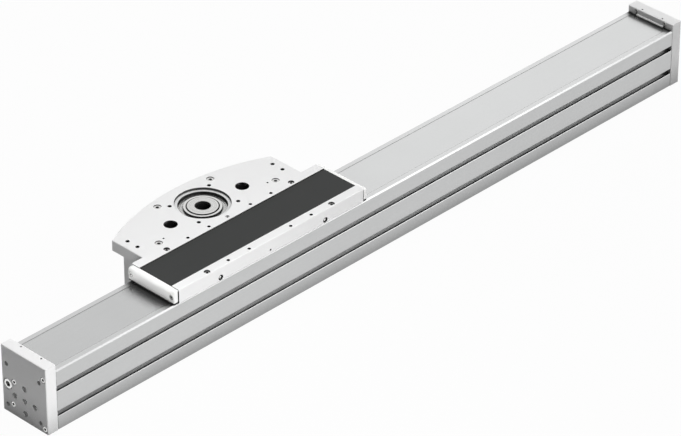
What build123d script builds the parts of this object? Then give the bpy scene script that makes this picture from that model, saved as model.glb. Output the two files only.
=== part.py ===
from build123d import *
import os
from math import acos, atan2, cos, degrees, hypot, pi, radians, sin

os.makedirs("parts", exist_ok=True)

# Cantilever linear axis, in millimetres. X runs along the profile, the visible front is -Y, the belt side
# is +Y and +Z is up. The origin is on the profile's underside at the middle of the axis.

# Sizes that several sub-parts share
overall_length = 1280.0
cap_thickness = 19.0
cap_rise = 10.4
profile_width = 88.0
profile_height = 95.0
saddle_x = -220.3
drive_offset = -4.4
running_gap = 0.4
fit_gap = 0.05
edge_break = 0.8
cut_through = 1.0

# Profile section
top_chamfer = 2.0
bottom_radius = 1.0
end_break = 0.7
slot_heights = (26.0, 66.0)
slot_opening = 8.3
slot_edge = 0.5
slot_lip = 3.2
slot_inner_width = 14.0
slot_depth = 10.0
guide_channel_width = 48.0
guide_channel_depth = 35.0
belt_height = 46.0
belt_channel_height = 44.0
belt_channel_depth = 15.5
chamber_width = 44.0
chamber_bottom = 9.0
chamber_top = 49.0
chamber_y = -6.0
chamber_radius = 4.0

# Cover strip
strip_width = 68.0
strip_thickness = 0.4
strip_side_gap = 0.4
strip_recess = 0.6
strip_rise = 9.2
strip_bend_radius = 60.0

# Guide
rail_width = 20.0
rail_height = 17.5
rail_end_gap = 1.0
rail_groove_height = 11.5
rail_groove_radius = 2.2
rail_screw_pitch = 120.0
rail_screw_margin = 30.0
rail_screw_sink = 3.5
carriage_width = 44.0
carriage_height = 30.0
carriage_lift = 4.6
carriage_edge = 1.5
carriage_block_length = 54.0
carriage_end_length = 8.0
carriage_end_inset = 0.75
carriage_spacing = 170.0
carriage_screw_spacing_x = 36.0
carriage_screw_spacing_y = 32.0
carriage_screw_reach = 7.0
carriage_pad_inset = 1.0

# Belt drive
belt_width = 30.0
belt_thickness = 1.5
belt_line_inset = 6.75
pulley_teeth = 40
belt_pitch = 5.0
pitch_to_tip = 0.57
tooth_groove_radius = 1.5
tooth_groove_depth = 2.05
pulley_offset = 45.0
pulley_flange_rise = 2.6
pulley_flange_thickness = 1.6
belt_side_gap = 0.4
idler_radius = 20.0
idler_spread = 50.0
idler_flange_rise = 2.4
idler_flange_thickness = 1.4
idler_axle_diameter = 15.0
idler_bearing_diameter = 32.0
idler_bearing_width = 9.0
idler_bearing_inset = 2.0
idler_axle_seat = 9.0

# Head plate
head_rise = 22.2
plate_thickness = 16.5
plate_half_width = 153.2
plate_corner_offset = 20.0
plate_back_offset = 56.3
saddle_length = 355.4
saddle_front_overhang = 1.1
saddle_back_overhang = 4.0
saddle_clearance = 0.7
plate_root = 6.0
strip_channel_width = 70.0
strip_channel_drop = 5.0
strip_throat_width = 56.0
bridge_drop = 14.9
bridge_end_inset = 50.0

# Top panel
panel_width = 61.6
panel_y = 1.0
panel_thickness = 2.4
panel_recess = 0.9
panel_gap = 0.9
panel_end_gap = 0.3

# Saddle ends: a black wiper with a foot under a moulded end cover
wiper_thickness = 1.8
wiper_inset = 0.5
wiper_foot_inset = 1.6
end_cover_thickness = 7.2
end_cover_lip = 1.2
end_cover_gap = 2.0
end_cover_drop = 1.0
end_cover_bulge = 1.0
end_cover_top_radius = 5.0
end_cover_bottom_radius = 1.5
end_cover_side_radius = 2.5
end_cover_front_inset = 0.7
end_cover_back_inset = 1.2
end_cover_screw_front = 5.2
end_cover_screw_back = 6.4
end_cover_screw_drop = 10.2
end_cover_screw_reach = 8.0

# Holes in the head plate
row_inset = 4.3
row_pitch = 40.0
row_thread_radius = 2.5
row_thread_depth = 13.0
row_screw_length = 10.0
row_screw_sink = 1.6
motor_spacing_x = 76.0
motor_spacing_y = 58.4
motor_centre_inset = 2.5
motor_thread_radius = 3.0
motor_thread_depth = 13.0
mounting_hole_x = 68.9
mounting_hole_inset = 7.9
mounting_counterbore = 20.0
mounting_hole = 13.0
mounting_counterbore_depth = 12.5
mounting_thread = 10.2
mounting_thread_depth = 24.0
corner_thread_inset = 13.6
corner_thread_shifts = (-16.7, 3.2)
sleeve_back_x = 51.0
sleeve_back_shift = 37.6
sleeve_front_inset = 40.7
sleeve_front_shift = 30.3
sleeve_diameter = 11.5
sleeve_bore = 5.0
sleeve_depth = 4.0
sleeve_drop = 0.8
mark_inset = 53.0
mark_shift = 26.7
mark_diameter = 3.0
datum_diameter = 5.6
datum_depth = 1.0
nipple_spacing = 202.0
nipple_shift = 1.5
nipple_drop = 16.8
nipple_hole = 8.6
nipple_depth = 6.0
nipple_base = 2.4
nipple_ball = 5.6
nipple_bore = 1.2
front_mark_drop = 16.0

# Shaft and bearings
motor_recess_diameter = 80.5
motor_recess_depth = 3.6
bearing_lip_diameter = 71.0
bearing_top_drop = 7.4
upper_bearing_bore = 45.0
upper_bearing_outside = 75.0
upper_bearing_width = 16.0
upper_inner_ring = 4.8
upper_outer_ring = 5.0
upper_ring_rise = 2.3
upper_ring_mouth = 1.5
lower_bearing_bore = 25.0
lower_bearing_outside = 47.0
lower_bearing_width = 12.0
lower_inner_ring = 2.5
lower_outer_ring = 4.0
shield_inset = 0.8
shield_thickness = 0.6
hub_diameter = 44.4
hub_drop = 4.2
hub_bore = 23.1
hub_bore_depth = 60.0
neck_height = 1.6
neck_inset = 2.0
shaft_foot_gap = 0.5
shaft_step_height = 1.0

# Drive housing
housing_gap_y = 1.2
housing_corner_inset = 2.0
housing_back_inset = 47.0
housing_bottom = 22.0
cover_thickness = 14.0
pocket_top = 68.0
pocket_half_width = 79.0
pocket_back_inset = 7.0
pocket_corner_radius = 18.0
pulley_pocket_radius = 38.5
bearing_shoulder = 4.0
housing_screw_edge = 13.2
housing_screw_edge_shift = -31.0
housing_screw_x = 95.5
housing_screw_shifts = (-29.0, 15.0)
housing_screw_gap = 0.2
housing_screw_reach = 10.0

# End caps
payload_spacing_y = 64.7
payload_spacing_z = 65.2
payload_y = 2.0
payload_z = 45.8
payload_thread_radius = 3.4
payload_thread_depth = 15.0
centring_pitch = 20.0
centring_z = 33.3
centring_diameter = 9.0
centring_depth = 2.1
centring_thread_radius = 2.1
cap_pin_hole_diameter = 3.0
cap_pin_hole_depth = 8.0
cap_pin_hole_inset = 4.2
cap_pin_hole_spacing = 40.0
cap_screw_side = 5.8
cap_screw_top = 8.6
cap_screw_bottom = 6.9
cap_screw_back_sides = (23.5, 20.0)
cap_screw_back_drops = (5.3, 6.7)
cap_screw_reach = 12.0
cap_screw_sink = 0.4
screw_tip_gap = 2.0
tension_inset = 10.8
tension_head = 16.0
tension_head_height = 7.6
tension_head_sink = 0.4
tension_key = 8.0
tension_thread = 6.0
tension_length = 40.0
belt_clamp_length = 70.0
belt_clamp_setback = 6.0
belt_clamp_gap = 0.3

# Strip clamps in the caps
clamp_screw_y = 27.7
clamp_screw_drop = 4.1
clamp_hole = 7.0
clamp_screw_sink = 0.4
clamp_screw_length = 9.0
clamp_bar_length = 52.0
clamp_bar_height = 2.2
clamp_bar_thickness = 5.0
clamp_bar_proud = 2.4
clamp_bar_groove = 0.6
clamp_slot_width = 3.0

# Screws: thread, head diameter, head height, key
screw_m3 = (3.0, 5.5, 3.0, 2.5)
screw_m4 = (4.0, 7.0, 4.0, 3.0)
screw_m5 = (5.0, 8.5, 5.0, 4.0)
screw_m8 = (8.0, 13.0, 8.0, 6.0)
head_side_gap = 0.3
head_chamfer_share = 0.12
key_depth_share = 0.6

# Places worked out from the sizes above
ends = (("near", -1), ("far", 1))
profile_side = profile_width / 2
profile_length = overall_length - 2 * cap_thickness
cap_height = profile_height + cap_rise
clamp_screw_z = cap_height - clamp_screw_drop
guide_floor = profile_height - guide_channel_depth
drive_x = saddle_x + drive_offset
strip_z = profile_height - strip_recess
strip_top = strip_z + strip_thickness
saddle_bottom = profile_height + saddle_clearance
saddle_front_y = -profile_side - saddle_front_overhang
saddle_back_y = profile_side + saddle_back_overhang
head_top = profile_height + head_rise
plate_bottom = head_top - plate_thickness
strip_channel_top = head_top - strip_channel_drop
bridge_top = head_top - bridge_drop
carriage_top = guide_floor + carriage_height
row_y = profile_side - row_inset
pulley_y = profile_side + pulley_offset
plate_corner_y = pulley_y + plate_corner_offset
plate_back_y = pulley_y + plate_back_offset
motor_centre_y = pulley_y - motor_centre_inset
mounting_hole_y = pulley_y - mounting_hole_inset
corner_thread_x = plate_half_width - corner_thread_inset
sleeve_places = [
    (side * reach, pulley_y + shift)
    for reach, shift in (
        (sleeve_back_x, sleeve_back_shift),
        (plate_half_width - sleeve_front_inset, -sleeve_front_shift),
    )
    for end, side in ends
]
mark_places = [(side * (plate_half_width - mark_inset), pulley_y - mark_shift) for end, side in ends]
nipple_places = [
    (saddle_x + nipple_shift + side * nipple_spacing / 2, head_top - nipple_drop) for end, side in ends
]
housing_screw_places = [
    (side * reach, pulley_y + shift)
    for reach, shift in (
        (plate_half_width - housing_screw_edge, housing_screw_edge_shift),
        (housing_screw_x, housing_screw_shifts[0]),
        (housing_screw_x, housing_screw_shifts[1]),
    )
    for end, side in ends
]
end_cover_front_y = saddle_front_y + end_cover_front_inset
end_cover_back_y = saddle_back_y - end_cover_back_inset
end_cover_top = head_top - end_cover_drop
end_cover_bottom = profile_height + end_cover_gap
end_cover_screw_places = [
    (y, head_top - end_cover_screw_drop)
    for y in (end_cover_front_y + end_cover_screw_front, end_cover_back_y - end_cover_screw_back)
]
cap_screw_places = (
    (cap_screw_side - profile_side, profile_height - cap_screw_top),
    (cap_screw_side - profile_side, cap_screw_bottom),
    (profile_side - cap_screw_back_sides[0], guide_floor - cap_screw_back_drops[0]),
    (
        profile_side - cap_screw_back_sides[1],
        belt_height - belt_channel_height / 2 - cap_screw_back_drops[1],
    ),
)
tension_y = profile_side - tension_inset
carriage_places = [(saddle_x + side * carriage_spacing / 2, 0) for end, side in ends]
belt_line_y = profile_side - belt_line_inset
pulley_tip_radius = belt_pitch * pulley_teeth / (2 * pi) - pitch_to_tip
loop_pulley_radius = pulley_tip_radius + running_gap + belt_thickness / 2
loop_idler_radius = idler_radius + running_gap + belt_thickness / 2
idler_y = belt_line_y + loop_idler_radius
idler_places = [(drive_x + side * idler_spread, idler_y) for end, side in ends]
bearing_top = head_top - bearing_top_drop
cover_bottom = housing_bottom - cover_thickness


def end_plane(side, x):
    """Plane across the axis at x, facing away from the middle, with its own y along Z."""
    return Plane(origin=(x, 0, 0), x_dir=(0, side, 0), z_dir=(side, 0, 0))


def on_end(side, places):
    """Places given as (y, z), as points of the plane from end_plane."""
    return [(side * y, z) for y, z in places]


def cap_screw(size, length):
    """Socket head screw along Z, with the underside of its head at the origin."""
    thread, head, head_height, key = size
    with BuildPart() as screw:
        with BuildSketch() as shank:
            Circle(thread / 2)
        extrude(amount=-length)
        with BuildSketch() as head_outline:
            Circle(head / 2)
        extrude(amount=head_height)
        chamfer(screw.edges().group_by(Axis.Z)[-1], head_height * head_chamfer_share)
        with BuildSketch(Plane.XY.offset(head_height)) as socket:
            RegularPolygon(key / 2, 6, major_radius=False)
        extrude(amount=-head_height * key_depth_share, mode=Mode.SUBTRACT)
    return screw.part


def ring(inner, outer, bottom, top):
    """Plain ring round Z, by its two diameters and its two heights."""
    with BuildPart() as band:
        with BuildSketch(Plane.XY.offset(bottom)) as annulus:
            Circle(outer / 2)
            Circle(inner / 2, mode=Mode.SUBTRACT)
        extrude(amount=top - bottom)
    return band.part


# Cantilever profile: one extrusion with the guide channel, the belt channel and two slots
with BuildPart() as cantilever_profile:
    with BuildSketch(Plane.YZ.offset(-profile_length / 2)) as profile_section:
        with Locations((0, profile_height / 2)):
            Rectangle(profile_width, profile_height)
        chamfer(profile_section.vertices().group_by(Axis.Y)[-1], top_chamfer)
        fillet(profile_section.vertices().group_by(Axis.Y)[0], bottom_radius)
        with Locations((0, profile_height)):
            Rectangle(strip_width + 2 * strip_side_gap, 2 * strip_recess, mode=Mode.SUBTRACT)
            Rectangle(guide_channel_width, 2 * (profile_height - guide_floor), mode=Mode.SUBTRACT)
        with Locations((profile_width / 2, belt_height)):
            Rectangle(2 * belt_channel_depth, belt_channel_height, mode=Mode.SUBTRACT)
        with Locations(*[(-profile_side, height) for height in slot_heights]):
            Rectangle(2 * slot_depth, slot_opening, mode=Mode.SUBTRACT)
            with GridLocations(1, slot_opening, 1, 2):
                RegularPolygon(slot_edge, 4, mode=Mode.SUBTRACT)
        with Locations(*[(-profile_side + slot_lip, height) for height in slot_heights]):
            Rectangle(
                slot_depth - slot_lip,
                slot_inner_width,
                align=(Align.MIN, Align.CENTER),
                mode=Mode.SUBTRACT,
            )
        with Locations((chamber_y, (chamber_bottom + chamber_top) / 2)):
            RectangleRounded(
                chamber_width, chamber_top - chamber_bottom, chamber_radius, mode=Mode.SUBTRACT
            )
    extrude(amount=profile_length)
    end_faces = cantilever_profile.faces().sort_by(Axis.X)
    for end_face in (end_faces[0], end_faces[-1]):
        rim = end_face.edges().filter_by(Axis.Z)
        chamfer(rim.group_by(Axis.Y)[0] + rim.group_by(Axis.Y)[-1], end_break)
    for end, side in ends:
        with Locations(end_plane(side, side * profile_length / 2)):
            with Locations(*on_end(side, cap_screw_places)):
                Hole(screw_m5[0] / 2 + fit_gap, depth=cap_screw_reach + screw_tip_gap)
cantilever_profile.part.label = "cantilever_profile"
export_step(cantilever_profile.part, "parts/cantilever_profile.step")

# End caps with payload threads, the centring cross and the seats of screws and strip clamp
for end, side in ends:
    inner_x = side * profile_length / 2
    outer_x = side * overall_length / 2
    clamp_z = strip_top + clamp_bar_height / 2
    with BuildPart() as end_cap:
        with BuildSketch(end_plane(side, inner_x)) as cap_outline:
            with Locations((0, cap_height / 2)):
                Rectangle(profile_width, cap_height)
        extrude(amount=cap_thickness)
        chamfer(end_cap.faces().filter_by(Axis.X).edges(), edge_break)
        with Locations(end_plane(side, outer_x)):
            with Locations((side * payload_y, payload_z)):
                with GridLocations(payload_spacing_y, payload_spacing_z, 2, 2):
                    Hole(payload_thread_radius, depth=payload_thread_depth)
            with Locations(*on_end(side, cap_screw_places)):
                CounterBoreHole(
                    screw_m5[0] / 2 + fit_gap,
                    screw_m5[1] / 2 + head_side_gap,
                    screw_m5[2] + cap_screw_sink,
                )
            with Locations((0, centring_z)):
                with PolarLocations(centring_pitch, 4):
                    CounterBoreHole(
                        centring_thread_radius, centring_diameter / 2, centring_depth, payload_thread_depth
                    )
                CounterBoreHole(
                    centring_thread_radius, centring_diameter / 2, centring_depth, payload_thread_depth
                )
            with Locations((side * tension_y, belt_height)):
                CounterBoreHole(
                    tension_thread / 2 + fit_gap,
                    tension_head / 2 + head_side_gap,
                    tension_head_height + tension_head_sink,
                )
        with Locations(end_plane(-side, inner_x)):
            with Locations((-clamp_screw_y, clamp_screw_z), (clamp_screw_y, clamp_screw_z)):
                CounterBoreHole(
                    screw_m3[0] / 2 + fit_gap,
                    clamp_hole / 2,
                    screw_m3[2] + clamp_screw_sink,
                    screw_m3[2] + clamp_screw_sink + clamp_screw_length + screw_tip_gap,
                )
        with BuildSketch(end_plane(-side, inner_x)) as clamp_seat:
            with Locations((0, clamp_z)):
                Rectangle(clamp_bar_length + 2 * fit_gap, clamp_bar_height + 2 * fit_gap)
            slot_z = (strip_z + clamp_screw_z) / 2
            with Locations((-clamp_screw_y, slot_z), (clamp_screw_y, slot_z)):
                Rectangle(clamp_slot_width, clamp_screw_z - strip_z)
        extrude(amount=-(clamp_bar_thickness - clamp_bar_proud), mode=Mode.SUBTRACT)
        with Locations(Plane.XY.offset(cap_height)):
            with Locations((inner_x + side * cap_pin_hole_inset, 0)):
                with GridLocations(1, cap_pin_hole_spacing, 1, 2):
                    Hole(cap_pin_hole_diameter / 2, depth=cap_pin_hole_depth)
    end_cap.part.label = f"end_cap_{end}"
    export_step(end_cap.part, f"parts/end_cap_{end}.step")

# Screws that hold the caps to the profile
cap_screw_piece = cap_screw(screw_m5, cap_thickness + cap_screw_reach - screw_m5[2] - cap_screw_sink)
for end, side in ends:
    with BuildPart() as end_cap_screws:
        with Locations(end_plane(side, side * (overall_length / 2 - screw_m5[2] - cap_screw_sink))):
            with Locations(*on_end(side, cap_screw_places)):
                add(cap_screw_piece)
    end_cap_screws.part.label = f"end_cap_screws_{end}"
    export_step(end_cap_screws.part, f"parts/end_cap_screws_{end}.step")

# Belt tension screws, reached from outside through the caps
tension_size = (tension_thread, tension_head, tension_head_height, tension_key)
tension_piece = cap_screw(tension_size, tension_length)
for end, side in ends:
    with BuildPart() as tension_screw:
        with Locations(
            end_plane(side, side * (overall_length / 2 - tension_head_height - tension_head_sink))
        ):
            with Locations((side * tension_y, belt_height)):
                add(tension_piece)
    tension_screw.part.label = f"tension_screw_{end}"
    export_step(tension_screw.part, f"parts/tension_screw_{end}.step")

# Strip clamp bars in the caps' inner faces
for end, side in ends:
    with BuildPart() as strip_clamp:
        with BuildSketch(
            end_plane(-side, side * (profile_length / 2 + clamp_bar_thickness - clamp_bar_proud))
        ) as bar_outline:
            with Locations((0, strip_top + clamp_bar_height / 2)):
                Rectangle(clamp_bar_length, clamp_bar_height)
        extrude(amount=clamp_bar_thickness)
        bar_face = strip_clamp.faces().sort_by(Axis.X)[-1 if side < 0 else 0]
        chamfer(bar_face.edges().group_by(Axis.Z)[-1], clamp_bar_groove)
        with BuildSketch(Plane(bar_face)) as groove:
            Rectangle(clamp_bar_length + 2 * cut_through, clamp_bar_groove)
        extrude(amount=-clamp_bar_groove, mode=Mode.SUBTRACT)
    strip_clamp.part.label = f"strip_clamp_{end}"
    export_step(strip_clamp.part, f"parts/strip_clamp_{end}.step")

# Screws above the strip clamp bars
clamp_screw_piece = cap_screw(screw_m3, clamp_screw_length)
for end, side in ends:
    with BuildPart() as strip_clamp_screws:
        with Locations(end_plane(-side, side * (profile_length / 2 + screw_m3[2] + clamp_screw_sink))):
            with Locations((-clamp_screw_y, clamp_screw_z), (clamp_screw_y, clamp_screw_z)):
                add(clamp_screw_piece)
    strip_clamp_screws.part.label = f"strip_clamp_screws_{end}"
    export_step(strip_clamp_screws.part, f"parts/strip_clamp_screws_{end}.step")

# Belt clamps: blocks in the belt channel that grip the belt's ends and hang on the tension screws
belt_clamp_inner = profile_length / 2 - belt_clamp_setback - belt_clamp_length
tension_seat = cap_thickness - tension_head_height - tension_head_sink
tension_screw_reach = tension_length - tension_seat - belt_clamp_setback
for end, side in ends:
    with BuildPart() as belt_clamp:
        with BuildSketch(end_plane(side, side * belt_clamp_inner)) as clamp_outline:
            with Locations((side * (profile_side - belt_channel_depth / 2), belt_height)):
                Rectangle(
                    belt_channel_depth - 2 * belt_clamp_gap, belt_channel_height - 4 * belt_clamp_gap
                )
        extrude(amount=belt_clamp_length)
        with BuildSketch(end_plane(side, side * belt_clamp_inner)) as belt_seat:
            with Locations((side * belt_line_y, belt_height)):
                Rectangle(belt_thickness, belt_width)
        extrude(amount=belt_clamp_length / 2, mode=Mode.SUBTRACT)
        with Locations(end_plane(side, side * (belt_clamp_inner + belt_clamp_length))):
            with Locations((side * tension_y, belt_height)):
                Hole(tension_thread / 2 + fit_gap, depth=tension_screw_reach + screw_tip_gap)
    belt_clamp.part.label = f"belt_clamp_{end}"
    export_step(belt_clamp.part, f"parts/belt_clamp_{end}.step")

# Guide rail in the top channel, with a ball groove in each flank and counterbored fixing holes
rail_length = profile_length - 2 * rail_end_gap
rail_screw_count = int((rail_length - 2 * rail_screw_margin) // rail_screw_pitch) + 1
rail_screw_grip = rail_height - screw_m5[2] - rail_screw_sink
with BuildPart() as guide_rail:
    with BuildSketch(Plane.YZ.offset(-rail_length / 2)) as rail_section:
        with Locations((0, guide_floor + rail_height / 2)):
            Rectangle(rail_width, rail_height)
        chamfer(rail_section.vertices().group_by(Axis.Y)[-1], edge_break)
        groove_z = guide_floor + rail_groove_height
        with Locations((-rail_width / 2, groove_z), (rail_width / 2, groove_z)):
            Circle(rail_groove_radius, mode=Mode.SUBTRACT)
    extrude(amount=rail_length)
    with Locations(Plane.XY.offset(guide_floor + rail_height)):
        with GridLocations(rail_screw_pitch, 1, rail_screw_count, 1):
            CounterBoreHole(
                screw_m5[0] / 2 + fit_gap, screw_m5[1] / 2 + head_side_gap, rail_height - rail_screw_grip
            )
guide_rail.part.label = "guide_rail"
export_step(guide_rail.part, "parts/guide_rail.step")

rail_screw_piece = cap_screw(screw_m5, rail_screw_grip)
with BuildPart() as guide_rail_screws:
    with Locations(Plane.XY.offset(guide_floor + rail_screw_grip)):
        with GridLocations(rail_screw_pitch, 1, rail_screw_count, 1):
            add(rail_screw_piece)
guide_rail_screws.part.label = "guide_rail_screws"
export_step(guide_rail_screws.part, "parts/guide_rail_screws.step")

# Cover strip: a flat run on the profile from each cap to the saddle
for end, side in ends:
    saddle_end = saddle_x + side * saddle_length / 2
    with BuildPart() as cover_strip:
        with BuildSketch(Plane.XY.offset(strip_z)) as strip_outline:
            with Locations(((saddle_end + side * profile_length / 2) / 2, 0)):
                Rectangle(abs(side * profile_length / 2 - saddle_end), strip_width)
        extrude(amount=strip_thickness)
    cover_strip.part.label = f"cover_strip_{end}"
    export_step(cover_strip.part, f"parts/cover_strip_{end}.step")

# Cover strip inside the saddle: it bends up over the carriages and down again
ramp_angle = degrees(acos(1 - strip_rise / (2 * strip_bend_radius)))
ramp_length = 2 * strip_bend_radius * sin(radians(ramp_angle))
with BuildPart() as cover_strip_arch:
    with BuildSketch(Plane.XZ.offset(-strip_width / 2)) as arch_section:
        with BuildLine() as arch_line:
            rise = JernArc(
                (saddle_x - saddle_length / 2, strip_z + strip_thickness / 2),
                (1, 0),
                strip_bend_radius,
                ramp_angle,
            )
            crest = JernArc(rise @ 1, rise % 1, strip_bend_radius, -ramp_angle)
            level = Line(crest @ 1, (2 * saddle_x - (crest @ 1).X, (crest @ 1).Y))
            brow = JernArc(level @ 1, level % 1, strip_bend_radius, -ramp_angle)
            JernArc(brow @ 1, brow % 1, strip_bend_radius, ramp_angle)
        trace(line_width=strip_thickness)
    extrude(amount=strip_width)
cover_strip_arch.part.label = "cover_strip_arch"
export_step(cover_strip_arch.part, "parts/cover_strip_arch.step")

# Head plate: the saddle over the cover strip and the D-shaped drive plate, milled from one piece
with BuildPart() as head_plate:
    with BuildSketch(Plane.YZ.offset(saddle_x - saddle_length / 2)) as saddle_section:
        with Locations(((saddle_front_y + saddle_back_y) / 2, (saddle_bottom + head_top) / 2)):
            Rectangle(saddle_back_y - saddle_front_y, head_top - saddle_bottom)
        chamfer(saddle_section.vertices().group_by(Axis.Y)[-1].sort_by(Axis.X)[0], edge_break)
        with Locations((panel_y, head_top)):
            Rectangle(
                panel_width + 2 * panel_gap, 2 * (panel_thickness + panel_recess), mode=Mode.SUBTRACT
            )
        with Locations((0, (bridge_top + head_top) / 2)):
            Rectangle(strip_throat_width, head_top - bridge_top, mode=Mode.SUBTRACT)
        with Locations((0, (bridge_top + strip_channel_top) / 2)):
            Rectangle(strip_channel_width, strip_channel_top - bridge_top, mode=Mode.SUBTRACT)
    extrude(amount=saddle_length)
    with BuildSketch(Plane.XY.offset(saddle_bottom)) as ramp_cuts:
        for end, side in ends:
            with Locations((saddle_x + side * (saddle_length - bridge_end_inset) / 2, 0)):
                Rectangle(bridge_end_inset, strip_channel_width)
    extrude(amount=bridge_top - saddle_bottom, mode=Mode.SUBTRACT)
    with BuildSketch(Plane.XY.offset(carriage_top)) as carriage_pads:
        with Locations(*carriage_places):
            Rectangle(carriage_block_length, carriage_width - 2 * carriage_pad_inset)
    extrude(amount=saddle_bottom - carriage_top)
    with BuildSketch(Plane.XY.offset(plate_bottom)) as plate_outline:
        with BuildLine() as plate_edge:
            left = drive_x - plate_half_width
            right = drive_x + plate_half_width
            front = saddle_back_y - plate_root
            Polyline((left, plate_corner_y), (left, front), (right, front), (right, plate_corner_y))
            ThreePointArc((right, plate_corner_y), (drive_x, plate_back_y), (left, plate_corner_y))
        make_face()
    extrude(amount=plate_thickness)
    top_edges = head_plate.edges().group_by(Axis.Z)[-1]
    chamfer(top_edges.filter_by(lambda edge: edge.center().Y > saddle_back_y + fit_gap), edge_break)
    with Locations(Plane.XY.offset(head_top)):
        with Locations((drive_x, pulley_y)):
            CounterBoreHole(bearing_lip_diameter / 2, motor_recess_diameter / 2, motor_recess_depth)
        with Locations((drive_x, motor_centre_y)):
            with GridLocations(motor_spacing_x, motor_spacing_y, 2, 2):
                Hole(motor_thread_radius, depth=motor_thread_depth)
        with Locations(*[(drive_x + side * mounting_hole_x, mounting_hole_y) for end, side in ends]):
            CounterBoreHole(mounting_hole / 2, mounting_counterbore / 2, mounting_counterbore_depth)
        for shift in corner_thread_shifts:
            with Locations(*[(drive_x + side * corner_thread_x, pulley_y + shift) for end, side in ends]):
                Hole(motor_thread_radius, depth=motor_thread_depth)
        with Locations(*[(drive_x + x, y) for x, y in sleeve_places]):
            CounterBoreHole(
                sleeve_bore / 2, sleeve_diameter / 2 + fit_gap, sleeve_depth, motor_thread_depth
            )
        with Locations(*[(drive_x + x, y) for x, y in mark_places]):
            Hole(mark_diameter / 2, depth=sleeve_depth)
        with Locations((drive_x, row_y)):
            CounterBoreHole(mark_diameter / 2, datum_diameter / 2, datum_depth, sleeve_depth)
        for y in (-row_y, row_y):
            with Locations(*[(saddle_x + step * row_pitch, y) for step in (-2, -1, 1, 2)]):
                Hole(row_thread_radius, depth=row_thread_depth)
            with Locations((saddle_x - 3 * row_pitch, y), (saddle_x + 3 * row_pitch, y)):
                CounterBoreHole(
                    screw_m5[0] / 2 + fit_gap,
                    screw_m5[1] / 2 + head_side_gap,
                    screw_m5[2] + row_screw_sink,
                    screw_m5[2] + row_screw_sink + row_screw_length,
                )
    with Locations(Plane.XY.offset(bridge_top)):
        with Locations(*carriage_places):
            with GridLocations(carriage_screw_spacing_x, carriage_screw_spacing_y, 2, 2):
                CounterBoreHole(
                    screw_m5[0] / 2 + fit_gap,
                    screw_m5[1] / 2 + head_side_gap,
                    screw_m5[2] + cap_screw_sink,
                    bridge_top - carriage_top,
                )
    with Locations(Plane.XY.offset(plate_bottom)):
        with Locations((drive_x, pulley_y)):
            Cylinder(
                upper_bearing_outside / 2,
                bearing_top - plate_bottom,
                align=(Align.CENTER, Align.CENTER, Align.MIN),
                mode=Mode.SUBTRACT,
            )
        with Locations(*[(drive_x + x, y) for x, y in housing_screw_places]):
            Cylinder(
                screw_m8[0] / 2 + fit_gap,
                housing_screw_reach + screw_tip_gap,
                align=(Align.CENTER, Align.CENTER, Align.MIN),
                mode=Mode.SUBTRACT,
            )
    with Locations(Plane.XZ.offset(-saddle_front_y)):
        with Locations(*nipple_places):
            Hole(nipple_hole / 2, depth=nipple_depth)
        with Locations((drive_x, head_top - front_mark_drop)):
            Hole(mark_diameter / 2, depth=nipple_depth)
    for end, side in ends:
        with Locations(end_plane(side, saddle_x + side * saddle_length / 2)):
            with Locations(*on_end(side, end_cover_screw_places)):
                Hole(screw_m4[0] / 2 + fit_gap, depth=end_cover_screw_reach + screw_tip_gap)
head_plate.part.label = "head_plate"
export_step(head_plate.part, "parts/head_plate.step")

# Black panel that closes the saddle's top
with BuildPart() as top_panel:
    with BuildSketch(Plane.XY.offset(head_top - panel_recess - panel_thickness)) as panel_outline:
        with Locations((saddle_x, panel_y)):
            Rectangle(saddle_length - 2 * panel_end_gap, panel_width)
    extrude(amount=panel_thickness)
top_panel.part.label = "top_panel"
export_step(top_panel.part, "parts/top_panel.step")

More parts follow.
